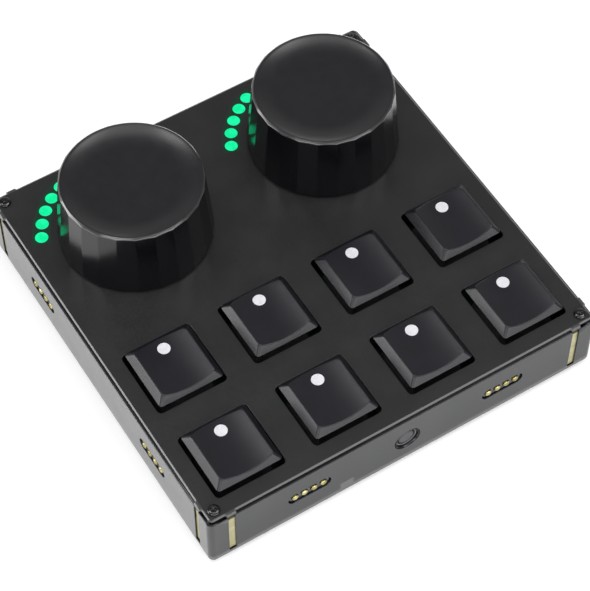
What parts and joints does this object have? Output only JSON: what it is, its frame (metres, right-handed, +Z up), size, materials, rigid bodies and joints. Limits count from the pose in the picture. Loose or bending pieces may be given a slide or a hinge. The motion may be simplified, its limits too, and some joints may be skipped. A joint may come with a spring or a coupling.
{
  "type": "midi controller",
  "caption": "Square desktop controller module with faceted push dials, sprung keys, light windows and magnetic docking contacts on every side.",
  "frame": {"origin": "on the table, under the middle of the module", "axes": "+X to the right along the front edge, +Y from the keys to the dials, +Z up"},
  "size_m": [0.1066, 0.1066, 0.0382],
  "materials": {
    "case_plastic": "smoky, polished",
    "plate_black": "satin",
    "screw_black": "blackened steel",
    "foot_rubber": "matt",
    "magnet_gold": "plated",
    "board_laminate": "lacquered",
    "chip_black": "matt",
    "insulator_black": "moulded",
    "switch_black": "moulded",
    "light_green": "lit from behind",
    "encoder_black": "moulded",
    "nut_steel": "nickel plated",
    "socket_steel": "drawn shell",
    "cap_black": "fine grain",
    "window_white": "milky",
    "stem_red": "moulded",
    "dial_black": "satin",
    "shaft_steel": "turned",
    "plunger_grey": "moulded",
    "pin_gold": "gold plated",
    "button_black": "moulded"
  },
  "bodies": {
    "module": {"case_tray": "case_plastic", "top_plate": "plate_black", "top_screws": "screw_black", "rubber_feet": "foot_rubber", "magnet_rods": "magnet_gold", "main_board": "board_laminate", "board_chips": "chip_black", "contact_housings": "insulator_black", "switch_bases": "switch_black", "switch_covers": "switch_black", "light_guides": "light_green", "encoder_bodies": "encoder_black", "encoder_nuts": "nut_steel", "side_switch": "switch_black", "usb_socket": "socket_steel"},
    "key_1": {"key_cap_1": "cap_black", "key_window_1": "window_white", "key_stem_1": "stem_red"},
    "key_2": {"key_cap_2": "cap_black", "key_window_2": "window_white", "key_stem_2": "stem_red"},
    "key_3": {"key_cap_3": "cap_black", "key_window_3": "window_white", "key_stem_3": "stem_red"},
    "key_4": {"key_cap_4": "cap_black", "key_window_4": "window_white", "key_stem_4": "stem_red"},
    "key_5": {"key_cap_5": "cap_black", "key_window_5": "window_white", "key_stem_5": "stem_red"},
    "key_6": {"key_cap_6": "cap_black", "key_window_6": "window_white", "key_stem_6": "stem_red"},
    "key_7": {"key_cap_7": "cap_black", "key_window_7": "window_white", "key_stem_7": "stem_red"},
    "key_8": {"key_cap_8": "cap_black", "key_window_8": "window_white", "key_stem_8": "stem_red"},
    "push_left": {"push_plunger_left": "plunger_grey"},
    "dial_left": {"dial_left": "dial_black", "dial_shaft_left": "shaft_steel"},
    "push_right": {"push_plunger_right": "plunger_grey"},
    "dial_right": {"dial_right": "dial_black", "dial_shaft_right": "shaft_steel"},
    "pins_front_1": {"contact_pins_front_1": "pin_gold"},
    "pins_front_2": {"contact_pins_front_2": "pin_gold"},
    "pins_right_1": {"contact_pins_right_1": "pin_gold"},
    "pins_right_2": {"contact_pins_right_2": "pin_gold"},
    "pins_back_1": {"contact_pins_back_1": "pin_gold"},
    "pins_back_2": {"contact_pins_back_2": "pin_gold"},
    "pins_left_1": {"contact_pins_left_1": "pin_gold"},
    "pins_left_2": {"contact_pins_left_2": "pin_gold"},
    "button": {"side_button": "button_black"}
  },
  "joints": [
    {"name": "key_press_1", "type": "slide", "parent": "module", "child": "key_1", "axis": [0, 0, -1], "range_m": [0, 0.003], "stiffness_N_per_m": 150, "springref_m": -0.0015},
    {"name": "key_press_2", "type": "slide", "parent": "module", "child": "key_2", "axis": [0, 0, -1], "range_m": [0, 0.003], "stiffness_N_per_m": 150, "springref_m": -0.0015},
    {"name": "key_press_3", "type": "slide", "parent": "module", "child": "key_3", "axis": [0, 0, -1], "range_m": [0, 0.003], "stiffness_N_per_m": 150, "springref_m": -0.0015},
    {"name": "key_press_4", "type": "slide", "parent": "module", "child": "key_4", "axis": [0, 0, -1], "range_m": [0, 0.003], "stiffness_N_per_m": 150, "springref_m": -0.0015},
    {"name": "key_press_5", "type": "slide", "parent": "module", "child": "key_5", "axis": [0, 0, -1], "range_m": [0, 0.003], "stiffness_N_per_m": 150, "springref_m": -0.0015},
    {"name": "key_press_6", "type": "slide", "parent": "module", "child": "key_6", "axis": [0, 0, -1], "range_m": [0, 0.003], "stiffness_N_per_m": 150, "springref_m": -0.0015},
    {"name": "key_press_7", "type": "slide", "parent": "module", "child": "key_7", "axis": [0, 0, -1], "range_m": [0, 0.003], "stiffness_N_per_m": 150, "springref_m": -0.0015},
    {"name": "key_press_8", "type": "slide", "parent": "module", "child": "key_8", "axis": [0, 0, -1], "range_m": [0, 0.003], "stiffness_N_per_m": 150, "springref_m": -0.0015},
    {"name": "dial_push_left", "type": "slide", "parent": "module", "child": "push_left", "axis": [0, 0, -1], "range_m": [0, 0.0005], "stiffness_N_per_m": 3000, "springref_m": -0.0005},
    {"name": "dial_turn_left", "type": "hinge", "parent": "push_left", "child": "dial_left", "pos_m": [-0.02667, 0.02667, 0.02], "axis": [0, 0, -1], "continuous": true},
    {"name": "dial_push_right", "type": "slide", "parent": "module", "child": "push_right", "axis": [0, 0, -1], "range_m": [0, 0.0005], "stiffness_N_per_m": 3000, "springref_m": -0.0005},
    {"name": "dial_turn_right", "type": "hinge", "parent": "push_right", "child": "dial_right", "pos_m": [0.02667, 0.02667, 0.02], "axis": [0, 0, -1], "continuous": true},
    {"name": "pin_press_front_1", "type": "slide", "parent": "module", "child": "pins_front_1", "axis": [0, 1, 0], "range_m": [0, 0.0005], "stiffness_N_per_m": 800, "springref_m": -0.001},
    {"name": "pin_press_front_2", "type": "slide", "parent": "module", "child": "pins_front_2", "axis": [0, 1, 0], "range_m": [0, 0.0005], "stiffness_N_per_m": 800, "springref_m": -0.001},
    {"name": "pin_press_right_1", "type": "slide", "parent": "module", "child": "pins_right_1", "axis": [-1, 0, 0], "range_m": [0, 0.0005], "stiffness_N_per_m": 800, "springref_m": -0.001},
    {"name": "pin_press_right_2", "type": "slide", "parent": "module", "child": "pins_right_2", "axis": [-1, 0, 0], "range_m": [0, 0.0005], "stiffness_N_per_m": 800, "springref_m": -0.001},
    {"name": "pin_press_back_1", "type": "slide", "parent": "module", "child": "pins_back_1", "axis": [0, -1, 0], "range_m": [0, 0.0005], "stiffness_N_per_m": 800, "springref_m": -0.001},
    {"name": "pin_press_back_2", "type": "slide", "parent": "module", "child": "pins_back_2", "axis": [0, -1, 0], "range_m": [0, 0.0005], "stiffness_N_per_m": 800, "springref_m": -0.001},
    {"name": "pin_press_left_1", "type": "slide", "parent": "module", "child": "pins_left_1", "axis": [1, 0, 0], "range_m": [0, 0.0005], "stiffness_N_per_m": 800, "springref_m": -0.001},
    {"name": "pin_press_left_2", "type": "slide", "parent": "module", "child": "pins_left_2", "axis": [1, 0, 0], "range_m": [0, 0.0005], "stiffness_N_per_m": 800, "springref_m": -0.001},
    {"name": "button_press", "type": "slide", "parent": "module", "child": "button", "axis": [0, 1, 0], "range_m": [0, 0.0004], "stiffness_N_per_m": 3000, "springref_m": -0.0004}
  ]
}
